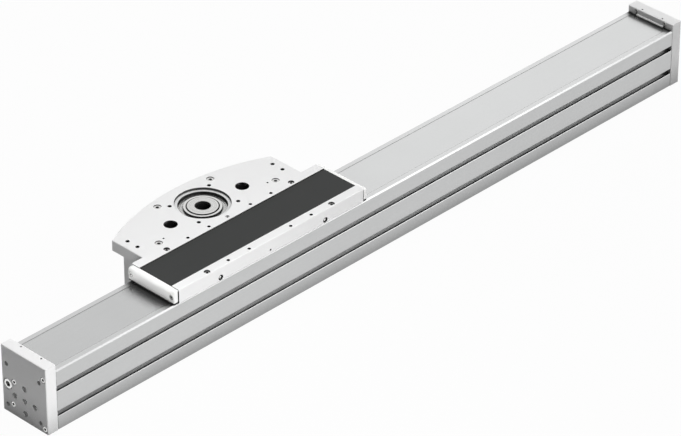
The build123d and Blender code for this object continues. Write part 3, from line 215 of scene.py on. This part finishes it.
@dataclass(frozen=True)
class Finish:
    """One surface finish, from which a material is made.

    Attributes:
        name: The material slot of the record.
        colour: The base colour.
        metallic: How metallic it is.
        roughness: The mean roughness.
        grain: What the grain looks like.
        fineness: The grain's waves to the metre.
        depth: The grain's depth.
        colour_swing: How far the grain changes the colour.
        roughness_swing: How far the grain changes the roughness.
        edge_wear_and_highlight: How much lighter the edges are, partly as wear and partly as a painted
            highlight.
        edge_radius: How far the edges are rounded to the eye.
        recess_shade: The darkest contact shade, or nought for none.
        recess_reach: How far the contact shade looks for other faces.
        recess_start: The closed share from which faces along bore_axis are shaded.
        wall_start: The closed share from which faces across bore_axis are shaded.
        recess_gain: How fast the shade grows.
        recess_power: How late it grows.
        recess_samples: How finely it is sampled.
        recess_lean: How far it looks towards +X of the piece, so that the painted shade falls like a shadow
            of light from +X.
        lip_y: Where the lips of the side slots end, or nought for a piece with no slots.
        top_z: The height above which flat faces are shaded as the lips are.
        cavity_share: The share of the shade that is left inside the slots.
        bore_axis: The way that the bores run.
        bore_reach: The radius about the centre within which walls get the painted shade of the bores.
        centre: The place of the upright axle that rings and bores go round.
        coat: The weight of the clear coat.
    """

    name: str
    colour: Colour
    metallic: float
    roughness: float
    grain: Grain
    fineness: float
    depth: float
    colour_swing: float = 0.05
    roughness_swing: float = 0.12
    edge_wear_and_highlight: float = 0.0
    edge_radius: float = 0.5 * MM
    recess_shade: float = 0.0
    recess_reach: float = 20 * MM
    recess_start: float = 0.40
    wall_start: float = 0.40
    recess_gain: float = 2.4
    recess_power: float = 1.0
    recess_samples: int = 6
    recess_lean: float = 0.0
    lip_y: float = 0.0
    top_z: float = 0.0
    cavity_share: float = 1.0
    bore_axis: Place = (0.0, 0.0, 1.0)
    bore_reach: float = 0.0
    centre: Place = (0.0, 0.0, 0.0)
    coat: float = 0.0

    @property
    def label(self) -> str:
        """The material's name, which tells apart two looks of one slot of the record."""
        return self.name + ("_painted_shade_sides" if self.wall_start < 0 else "_look")

    def radius(self, graph: Graph) -> Signal:
        """The distance of the surface's point from the upright axle at the finish's centre."""
        offset = graph.vector("SUBTRACT", graph.place(), self.centre)
        flat = graph.vector("MULTIPLY", offset, (1.0, 1.0, 0.0))
        return graph.vector("LENGTH", flat, (0.0, 0.0, 0.0), "Value")

    def pattern(self, graph: Graph) -> Signal:
        """The fine grain of the surface.

        Args:
            graph: The material's graph.

        Returns:
            The grain's height, from nought to one.
        """
        place = graph.place()
        if self.grain is Grain.DRAWN:
            along = self.fineness / DRAWN_STRETCH
            stretched = graph.vector("MULTIPLY", place, (along, self.fineness, self.fineness))
            return graph.noise(stretched, 1.0, 3.0)
        if self.grain is Grain.TURNED:
            height = graph.node("SeparateXYZ", {}, {0: place}, "Z")
            rings = graph.node("CombineXYZ", {}, {"X": self.radius(graph), "Y": height})
            return graph.noise(rings, self.fineness, 3.0)
        if self.grain is Grain.MOULDED:
            cells = {"Vector": place, "Scale": self.fineness}
            return graph.node("TexVoronoi", {"feature": "SMOOTH_F1"}, cells, "Distance")
        return graph.noise(place, self.fineness, 4.0)

    def mottled(self, graph: Graph, grain: Signal) -> Signal:
        """The base colour, which changes a little with the grain.

        Args:
            graph: The material's graph.
            grain: The grain's height.

        Returns:
            The colour.
        """
        cloud = graph.noise(graph.place(), CLOUD_SCALE)
        mottle = grain * GRAIN_SHARE + cloud * (1 - GRAIN_SHARE)
        low = tuple(value * (1 - self.colour_swing) for value in self.colour) + (1.0,)
        high = tuple(min(1.0, value * (1 + self.colour_swing)) for value in self.colour) + (1.0,)
        return graph.blend(mottle, low, high)

    def wear_and_highlight_edges(self, graph: Graph, colour: Signal, rounded: Signal) -> Signal:
        """Makes the edges lighter.

        Args:
            graph: The material's graph.
            colour: The colour beside the edges.
            rounded: The normal of the rounded edges.

        Returns:
            The colour with its edges.
        """
        # Lighter edges: partly wear and partly a painted highlight.
        flat = graph.node("NewGeometry", {}, {}, "Normal")
        facing = graph.vector("DOT_PRODUCT", rounded, flat, "Value")
        edge = graph.maths("MINIMUM", (1.0 - facing) * EDGE_GAIN, 1.0)
        return graph.blend(edge * self.edge_wear_and_highlight, colour, EDGE_WEAR_AND_HIGHLIGHT_COLOUR)

    def contact_shade(self, graph: Graph) -> Signal:
        """How dark the surface gets in its corners, slots and holes.

        Args:
            graph: The material's graph.

        Returns:
            The share of shade, from nought to one.
        """
        true_normal = graph.node("NewGeometry", {}, {}, "True Normal")
        along = {"vector_type": "VECTOR", "convert_from": "OBJECT", "convert_to": "WORLD"}
        # The lean tilts the look towards +X, so the painted shade lies like a shadow of light from +X.
        lean = graph.node("VectorTransform", along, {0: (self.recess_lean, 0.0, 0.0)})
        look = {"Distance": self.recess_reach, "Normal": graph.vector("ADD", true_normal, lean)}
        open_share = graph.node("AmbientOcclusion", {"samples": self.recess_samples}, look, "AO")
        facing = graph.vector("DOT_PRODUCT", true_normal, self.bore_axis, "Value")
        flatness = graph.maths("ABSOLUTE", facing)
        start = self.wall_start + flatness * (self.recess_start - self.wall_start)
        depth = ((1.0 - open_share - start) * self.recess_gain).larger(0.0)
        shade = graph.maths("MINIMUM", depth**self.recess_power, 1.0) * self.recess_shade
        if self.lip_y:
            shade = self.slot_shade(graph, shade, open_share, flatness)
        if self.bore_reach:
            inside = graph.maths("LESS_THAN", self.radius(graph), self.bore_reach)
            wall = inside * graph.maths("LESS_THAN", flatness, WALL_BELOW)
            shade = shade.larger(wall * BORE_SHADE)
        return shade

    def slot_shade(self, graph: Graph, shade: Signal, open_share: Signal, flatness: Signal) -> Signal:
        """Darkens the lips of the side slots and lightens the walls behind them.

        Args:
            graph: The material's graph.
            shade: The contact shade so far.
            open_share: How open the surface is.
            flatness: One for faces along the bore axis, and nought for faces across it.

        Returns:
            The changed shade.
        """
        across = graph.node("SeparateXYZ", {}, {0: graph.place()}, "Y")
        height = graph.node("SeparateXYZ", {}, {0: graph.place()}, "Z")
        outside = graph.maths("LESS_THAN", across, self.lip_y)
        above = graph.maths("GREATER_THAN", height, self.top_z)
        shade = shade * (outside * (1.0 - self.cavity_share) + self.cavity_share)
        # Painted shade, near black, on the lips of the side slots and on the top lands.
        lip = graph.maths("GREATER_THAN", flatness, FLAT_FROM) * outside.larger(above)
        closed = graph.maths("MINIMUM", (LIP_OPEN_SHARE - open_share) * LIP_GAIN, LIP_SHADE)
        return shade.larger(closed * lip)

    def material(self) -> bpy.types.Material:
        """Makes the material.

        Returns:
            A new material with the finish's label as its name.
        """
        made = bpy.data.materials.new(self.label)
        graph = Graph(made)
        grain = self.pattern(graph)
        colour = self.mottled(graph, grain)
        roughness = self.roughness + (grain - 0.5) * self.roughness_swing
        bump = {"Height": grain, "Distance": self.depth, "Strength": 1.0}
        # Lighter edges, partly wear and partly a painted highlight.
        if self.edge_wear_and_highlight:
            rounded = graph.node("Bevel", {"samples": EDGE_SAMPLES}, {"Radius": self.edge_radius})
            colour = self.wear_and_highlight_edges(graph, colour, rounded)
            bump["Normal"] = rounded
        look = {
            "Base Color": colour,
            "Metallic": self.metallic,
            "Roughness": roughness,
            "Coat Weight": self.coat,
            "Normal": graph.node("Bump", {}, bump),
        }
        surface = graph.node("BsdfPrincipled", {}, look)
        # Painted shade: a dark matt shader is mixed in where the surface is closed in.
        if self.recess_shade:
            dark = graph.node("BsdfDiffuse", {}, {"Color": SHADE_COLOUR})
            surface = graph.node("MixShader", {}, {0: self.contact_shade(graph), 1: surface, 2: dark})
        graph.node("OutputMaterial", {}, {"Surface": surface})
        return made


class Look(Enum):
    """The finishes of the axis, each named as its material slot is in the record."""

    PROFILE = Finish(
        "anodised_profile", (0.58, 0.585, 0.585), 0.85, 0.30, Grain.DRAWN, 900.0, 0.006 * MM,
        colour_swing=0.07, roughness_swing=0.08, recess_shade=0.9, recess_reach=40 * MM,
        recess_start=1.0, wall_start=0.0, recess_gain=1.25, recess_power=1.45,
        recess_samples=10, recess_lean=0.8, lip_y=-40.7 * MM, top_z=90 * MM, cavity_share=0.5,
    )
    CAP = Finish(
        "milled_cap", (0.88, 0.88, 0.88), 0.0, 0.42, Grain.SATIN, 1300.0, 0.015 * MM,
        colour_swing=0.04, edge_wear_and_highlight=0.35, recess_shade=0.97, recess_reach=60 * MM,
        recess_start=1.0, wall_start=0.0, recess_gain=1.05, recess_power=1.45,
    )
    HOUSING = Finish(
        "housing", (0.86, 0.86, 0.86), 0.0, 0.46, Grain.SATIN, 900.0, 0.02 * MM,
        colour_swing=0.05, edge_wear_and_highlight=0.2, recess_shade=0.9,
    )
    STRIP = Finish(
        "steel_strip", (0.53, 0.535, 0.535), 0.9, 0.20, Grain.DRAWN, 1400.0, 0.003 * MM,
        colour_swing=0.06, roughness_swing=0.06, recess_shade=0.9, recess_reach=40 * MM,
        recess_start=0.3, wall_start=0.3, recess_gain=3.7, recess_samples=10, recess_lean=0.8,
    )
    PANEL = Finish(
        "black_panel", (0.0180, 0.0190, 0.0185), 0.0, 0.75, Grain.MOULDED, 2200.0, 0.012 * MM,
        colour_swing=0.12,
    )
    LIGHT_PLASTIC = Finish(
        "light_plastic", (0.92, 0.92, 0.91), 0.0, 0.34, Grain.MOULDED, 1600.0, 0.01 * MM,
        colour_swing=0.03, edge_wear_and_highlight=0.2, recess_shade=0.97, coat=1.0,
    )
    SEAL = Finish(
        "seal_plastic", (0.035, 0.035, 0.036), 0.0, 0.60, Grain.MOULDED, 1200.0, 0.02 * MM,
        colour_swing=0.15,
    )
    GREEN_PLASTIC = Finish(
        "green_plastic", (0.05, 0.22, 0.12), 0.0, 0.42, Grain.MOULDED, 1400.0, 0.01 * MM,
        colour_swing=0.08,
    )
    BELT = Finish(
        "belt", (0.030, 0.031, 0.033), 0.0, 0.62, Grain.DRAWN, 1800.0, 0.02 * MM,
        colour_swing=0.18,
    )
    GROUND_STEEL = Finish(
        "ground_steel", (0.68, 0.68, 0.67), 0.95, 0.24, Grain.SATIN, 1700.0, 0.004 * MM,
        colour_swing=0.05, edge_wear_and_highlight=0.3, recess_shade=0.9, recess_reach=4 * MM,
    )
    SCREW_STEEL = Finish(
        "screw_steel", (0.86, 0.86, 0.85), 0.9, 0.24, Grain.SATIN, 2400.0, 0.004 * MM,
        colour_swing=0.06, edge_wear_and_highlight=0.4, edge_radius=0.3 * MM, recess_shade=1.0, recess_reach=6 * MM,
        recess_start=0.0, wall_start=0.0, recess_gain=1.5, recess_power=1.8,
    )


def shaft_centre() -> Place:
    """The place of the drive shaft's axis on the floor plan."""
    low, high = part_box("drive_shaft")
    return ((low.x + high.x) / 2, (low.y + high.y) / 2, 0.0)


# The sides of these screw heads get the full painted contact shade, so they have a look of their own under
# the slot of the other screws.
CLAMP_SCREW = Finish(
    "screw_steel", (0.86, 0.86, 0.85), 0.9, 0.24, Grain.SATIN, 2400.0, 0.004 * MM,
    colour_swing=0.06, recess_shade=1.0, recess_reach=6 * MM, bore_axis=(1.0, 0.0, 0.0),
    recess_start=1.0, wall_start=-1.0,
)

# The grain and the painted shade on the walls of these finishes go round the drive shaft.
PLATE = Finish(
    "milled_plate", (0.82, 0.82, 0.82), 0.05, 0.42, Grain.SATIN, 1500.0, 0.012 * MM,
    colour_swing=0.03, edge_wear_and_highlight=0.12, recess_shade=1.0, recess_reach=30 * MM,
    wall_start=0.15, recess_gain=3.5, bore_reach=43 * MM, centre=shaft_centre(),
)
BEARING = Finish(
    "bearing_steel", (0.70, 0.70, 0.69), 0.95, 0.20, Grain.TURNED, 2600.0, 0.003 * MM,
    colour_swing=0.06, edge_wear_and_highlight=0.4, edge_radius=0.4 * MM, recess_shade=0.88,
    recess_start=0.16, wall_start=0.05, centre=shaft_centre(),
)
HUB = Finish(
    "turned_hub", (0.62, 0.62, 0.61), 0.80, 0.28, Grain.TURNED, 1500.0, 0.005 * MM,
    colour_swing=0.05, edge_wear_and_highlight=0.5, edge_radius=0.4 * MM, recess_shade=1.0, recess_reach=30 * MM,
    wall_start=0.1, centre=shaft_centre(),
)


def dress(finish: Finish, *nodes: str) -> None:
    """Gives one finish to CAD nodes.

    Args:
        finish: The finish, from which one shared material is made.
        nodes: The names of the nodes.
    """
    material = bpy.data.materials.get(finish.label) or finish.material()
    for name in nodes:
        for material_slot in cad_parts[name].material_slots:
            material_slot.material = material
        log.info("dressed %s as %s", name, finish.name)


def both(*names: str) -> list[str]:
    """The near and the far node of each name."""
    return [f"{name}_{end}" for name in names for end in ("near", "far")]


def mesh_piece(name: str, built: bmesh.types.BMesh, finish: Finish, body: str) -> bpy.types.Object:
    """Makes an object from mesh data and lets it ride on a body.

    Args:
        name: The piece's name.
        built: The mesh, which is freed.
        finish: The finish, whose name is also a material slot of the record.
        body: The body that the piece moves with.

    Returns:
        The new object.
    """
    mesh = bpy.data.meshes.new(name)
    bmesh.ops.recalc_face_normals(built, faces=built.faces)
    built.to_mesh(mesh)
    built.free()
    piece = bpy.data.objects.new(name, mesh)
    bpy.context.scene.collection.objects.link(piece)
    mesh.materials.append(bpy.data.materials.get(finish.label) or finish.material())
    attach(piece, body)
    log.info("built %s", name)
    return piece


def extruded(outlines: list[list[Vector]]) -> bmesh.types.BMesh:
    """Joins a row of like outlines into one closed skin.

    Args:
        outlines: The same number of points at each station, in order.

    Returns:
        The closed mesh.
    """
    built = bmesh.new()
    rows = [[built.verts.new(point) for point in outline] for outline in outlines]
    count = len(rows[0])
    for before, after in zip(rows, rows[1:]):
        for index in range(count):
            following = (index + 1) % count
            built.faces.new((before[index], before[following], after[following], after[index]))
    built.faces.new(rows[0])
    built.faces.new(rows[-1])
    return built


@dataclass
class GuideProfile:
    """The profile with its end caps, clamps and the guide inside."""

    def dress(self) -> None:
        """Gives the profile and what is fixed in it their finishes."""
        dress(Look.PROFILE.value, "cantilever_profile")
        dress(Look.CAP.value, *both("end_cap", "strip_clamp"))
        dress(Look.HOUSING.value, *both("belt_clamp"))
        dress(Look.GROUND_STEEL.value, "guide_rail")
        dress(Look.SCREW_STEEL.value, *both("end_cap_screws", "tension_screw"))
        dress(CLAMP_SCREW, *both("strip_clamp_screws"))
        dress(Look.SCREW_STEEL.value, "guide_rail_screws")


@dataclass
class CoverStrip:
    """The steel strip that closes the profile's top from cap to cap.

    Attributes:
        stations: How many lengths the strip is built from.
        edge_radius: The radius of its rolled edges.
        edge_points: The points round each of them.
    """

    stations: int = 96
    edge_radius: float = 0.12 * MM
    edge_points: int = 3

    def section(self, x: float) -> list[Vector]:
        """The strip's outline at one place along the profile.

        Args:
            x: The place.

        Returns:
            Points round the thin section, with rolled edges.
        """
        low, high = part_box("cover_strip_far")
        outline = []
        middle = (low.z + high.z) / 2
        corners = (
            (high.y, high.z, 0.0),
            (low.y, high.z, 90.0),
            (low.y, low.z, 180.0),
            (high.y, low.z, 270.0),
        )
        for y, z, start in corners:
            middle_y = y - math.copysign(self.edge_radius, y)
            middle_z = z - math.copysign(self.edge_radius, z - middle)
            for step in range(self.edge_points):
                angle = math.radians(start + 90.0 * step / (self.edge_points - 1))
                across = middle_y + self.edge_radius * math.cos(angle)
                outline.append(Vector((x, across, middle_z + self.edge_radius * math.sin(angle))))
        return outline

    def build(self) -> None:
        """Builds the strip, which is fixed to both caps and so rides on the profile."""
        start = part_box("cover_strip_near")[0].x
        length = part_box("cover_strip_far")[1].x - start
        places = [start + length * index / self.stations for index in range(self.stations + 1)]
        built = extruded([self.section(x) for x in places])
        strip = mesh_piece("cover_strip", built, Look.STRIP.value, "profile")
        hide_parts(*both("cover_strip"))

    def dress(self) -> None:
        """Dresses the part of the strip that rises over the carriages."""
        dress(Look.STRIP.value, "cover_strip_arch")


@dataclass
class ToothedBelt:
    """The belt in the profile's side channel, with its teeth towards the profile.

    Attributes:
        pitch: The distance from tooth to tooth.
        tooth_height: How far a tooth stands out.
        tooth_root: Its width at the belt.
        tooth_tip: Its width at the tip.
    """

    pitch: float = 5.0 * MM
    tooth_height: float = 1.2 * MM
    tooth_root: float = 3.0 * MM
    tooth_tip: float = 2.0 * MM

    def build(self) -> None:
        """Builds the belt, which is clamped at both ends and so rides on the profile."""
        low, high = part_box("belt_run_near")
        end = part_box("belt_run_far")[1].x
        count = int((end - low.x) / self.pitch)
        first = (low.x + end - count * self.pitch) / 2
        root, tip = low.y, low.y - self.tooth_height
        teeth = [(low.x, root)]
        for index in range(count):
            middle = first + (index + 0.5) * self.pitch
            teeth += [
                (middle - self.tooth_root / 2, root),
                (middle - self.tooth_tip / 2, tip),
                (middle + self.tooth_tip / 2, tip),
                (middle + self.tooth_root / 2, root),
            ]
        teeth.append((end, root))
        built = bmesh.new()
        rows = []
        for z in (low.z, high.z):
            toothed = [built.verts.new((x, y, z)) for x, y in teeth]
            smooth = [built.verts.new((x, high.y, z)) for x, _ in teeth]
            rows.append((toothed, smooth))
        (low_toothed, low_smooth), (high_toothed, high_smooth) = rows
        for now in range(len(teeth) - 1):
            after = now + 1
            built.faces.new((low_toothed[now], low_toothed[after], high_toothed[after], high_toothed[now]))
            built.faces.new((low_smooth[now], high_smooth[now], high_smooth[after], low_smooth[after]))
            built.faces.new((low_toothed[now], low_smooth[now], low_smooth[after], low_toothed[after]))
            built.faces.new((high_toothed[now], high_toothed[after], high_smooth[after], high_smooth[now]))
        for outer in (0, -1):
            built.faces.new((low_toothed[outer], high_toothed[outer], high_smooth[outer], low_smooth[outer]))
        belt = mesh_piece("toothed_belt", built, Look.BELT.value, "profile")
        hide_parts(*both("belt_run"))

    def dress(self) -> None:
        """Dresses the loop round the idlers and the pulley."""
        dress(Look.BELT.value, "belt_loop")


@dataclass
class DriveHead:
    """The saddle and drive plate with all that is fixed to them."""

    def dress(self) -> None:
        """Gives the head's pieces their finishes."""
        dress(PLATE, "head_plate")
        dress(Look.PANEL.value, "top_panel")
        dress(Look.LIGHT_PLASTIC.value, *both("end_cover"))
        dress(Look.SEAL.value, *both("strip_wiper", "strip_guide"))
        dress(Look.SCREW_STEEL.value, *both("end_cover_screws"))
        dress(Look.SCREW_STEEL.value, "saddle_screws", "lube_nipples", "carriage_screws", "housing_screws")
        dress(Look.GROUND_STEEL.value, "centring_sleeves", *both("carriage"))
        dress(Look.GREEN_PLASTIC.value, *both("carriage_end_plates"))
        dress(Look.HOUSING.value, "drive_housing", "bottom_cover")


@dataclass
class BeltDrive:
    """The hollow shaft, its bearings, the pulley and the two idlers."""

    def dress(self) -> None:
        """Gives the turning pieces their finishes."""
        dress(HUB, "drive_shaft", "drive_pulley")
        dress(BEARING, "shaft_bearing_outer_upper", "shaft_bearing_inner_upper")
        dress(BEARING, "shaft_bearing_outer_lower", "shaft_bearing_inner_lower")
        dress(BEARING, *both("idler_bearings"))
        dress(Look.GROUND_STEEL.value, *both("idler_roller", "idler_axle"))


@dataclass(frozen=True)
class Lamp:
    """One soft lamp.

    Attributes:
        name: Its name.
        place: Where it hangs.
        aim: The point that it faces.
        size: Its width, or its diameter where it has no height.
        power: Its power in watts.
        spread: The full angle of its beam in degrees.
        height: The height of a lamp that isn't round.
        mirrored: Whether glossy surfaces show it.
    """

    name: str
    place: Place
    aim: Place
    size: float
    power: float
    spread: float = 180.0
    height: float = 0.0
    mirrored: bool = False

    def hang(self) -> None:
        """Hangs the lamp in its place."""
        light = bpy.data.lights.new(self.name, "AREA")
        light.shape = "RECTANGLE" if self.height else "DISK"
        light.size = self.size
        light.size_y = self.height
        light.energy = self.power
        light.spread = math.radians(self.spread)
        hung = bpy.data.objects.new(self.name, light)
        bpy.context.scene.collection.objects.link(hung)
        hung.location = self.place
        hung.rotation_mode = "QUATERNION"
        hung.rotation_quaternion = (Vector(self.aim) - Vector(self.place)).to_track_quat("-Z", "Y")
        hung.visible_camera = False
        hung.visible_glossy = self.mirrored


@dataclass
class Studio:
    """The floor, the light and the camera.

    Attributes:
        floor_size: The side of the square floor.
        floor_colour: The grey of the floor's matt surface.
        floor_glow: The share of white that the floor shows to the camera, to gloss and to glass.
        ambient: The strength of the light from all round.
        lamps: The lamps.
        camera_place: Where the camera stands.
        camera_aim: The direction that it looks in.
        lens: Its focal length in millimetres.
        sensor: The width of its sensor in millimetres.
        near: The nearest distance that it shows.
        far: The farthest distance that it shows.
    """

    floor_size: float = 40.0
    floor_colour: float = 0.56
    floor_glow: float = 0.965
    ambient: float = 0.10
    lamps: tuple[Lamp, ...] = (
        Lamp("key", (1.45, -2.20, 1.44), (0.0, 0.0, 0.0), 2.5, 25.5),
        Lamp("edge", (1.77, -1.71, 1.77), (0.0, 0.0, 0.06), 1.3, 7.0, mirrored=True),
        Lamp("overhead", (0.7, 0.3, 2.8), (0.1, 0.0, 0.0), 1.4, 30.0),
        Lamp("rear", (-0.1, 2.6, 0.9), (0.0, 0.0, 0.05), 1.5, 5.0, 60.0),
        Lamp("front", (-0.50, -1.15, 0.95), (-0.50, 0.0, 0.05), 0.7, 2.2, 66.0),
        Lamp("cover", (-0.98, 0.0, 0.31), (-0.40, 0.0, 0.105), 0.09, 0.0044, 3.0, 0.035),
        Lamp("back", (1.39, 0.94, 0.98), (0.45, 0.0, 0.10), 0.9, 0.65, mirrored=True),
    )
    camera_place: Place = (-3.5764, -3.4752, 3.2491)
    camera_aim: Place = (0.599014, 0.588999, -0.542459)
    lens: float = 220.93
    sensor: float = 36.0
    near: float = 0.1
    far: float = 100.0

    def seen(self, graph: Graph) -> Signal:
        """One for the rays that see the background: those of the camera, of gloss and of glass."""
        camera = graph.node("LightPath", {}, {}, "Is Camera Ray")
        gloss = graph.node("LightPath", {}, {}, "Is Glossy Ray")
        glass = graph.node("LightPath", {}, {}, "Is Transmission Ray")
        return camera.larger(gloss).larger(glass)

    def build_world(self) -> None:
        """Builds a white surrounding that lights the axis only softly."""
        world = bpy.data.worlds.new("studio")
        bpy.context.scene.world = world
        graph = Graph(world)
        soft = graph.node("Background", {}, {"Color": (*WHITE, 1.0), "Strength": self.ambient})
        white = graph.node("Background", {}, {"Color": (*WHITE, 1.0), "Strength": 1.0})
        mixed = graph.node("MixShader", {}, {0: self.seen(graph), 1: soft, 2: white})
        graph.node("OutputWorld", {}, {"Surface": mixed})

    def build_floor(self) -> None:
        """Builds a pale floor under the axis, which keeps its shadow."""
        built = bmesh.new()
        half = self.floor_size / 2
        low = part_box("cantilever_profile")[0].z
        corners = ((-half, -half), (half, -half), (half, half), (-half, half))
        built.faces.new([built.verts.new((x, y, low)) for x, y in corners])
        mesh = bpy.data.meshes.new("floor")
        built.to_mesh(mesh)
        built.free()
        floor = bpy.data.objects.new("floor", mesh)
        bpy.context.scene.collection.objects.link(floor)
        material = bpy.data.materials.new("floor")
        graph = Graph(material)
        matt = graph.node("BsdfDiffuse", {}, {"Color": (*[self.floor_colour] * 3, 1.0)})
        glow = graph.node("Emission", {}, {"Color": (*WHITE, 1.0), "Strength": 1.0})
        share = self.seen(graph) * self.floor_glow
        mixed = graph.node("MixShader", {}, {0: share, 1: matt, 2: glow})
        graph.node("OutputMaterial", {}, {"Surface": mixed})
        mesh.materials.append(material)

    def build_camera(self) -> None:
        """Puts the camera where the photograph was taken from."""
        optics = bpy.data.cameras.new("camera")
        optics.lens = self.lens
        optics.sensor_width = self.sensor
        optics.clip_start = self.near
        optics.clip_end = self.far
        camera = bpy.data.objects.new("camera", optics)
        bpy.context.scene.collection.objects.link(camera)
        camera.location = self.camera_place
        camera.rotation_mode = "QUATERNION"
        camera.rotation_quaternion = Vector(self.camera_aim).to_track_quat("-Z", "Y")
        bpy.context.scene.camera = camera

    def build(self) -> None:
        """Builds the whole studio."""
        self.build_camera()
        self.build_world()
        self.build_floor()
        for lamp in self.lamps:
            lamp.hang()
        bpy.context.scene.view_settings.view_transform = "Standard"
        log.info("built the studio")


def main() -> None:
    """Builds and dresses every piece of the axis."""
    logging.basicConfig(level=logging.INFO, format="%(name)s: %(message)s")
    Studio().build()
    GuideProfile().dress()
    strip = CoverStrip()
    strip.build()
    strip.dress()
    belt = ToothedBelt()
    belt.build()
    belt.dress()
    DriveHead().dress()
    BeltDrive().dress()


if __name__ == "__main__":
    main()
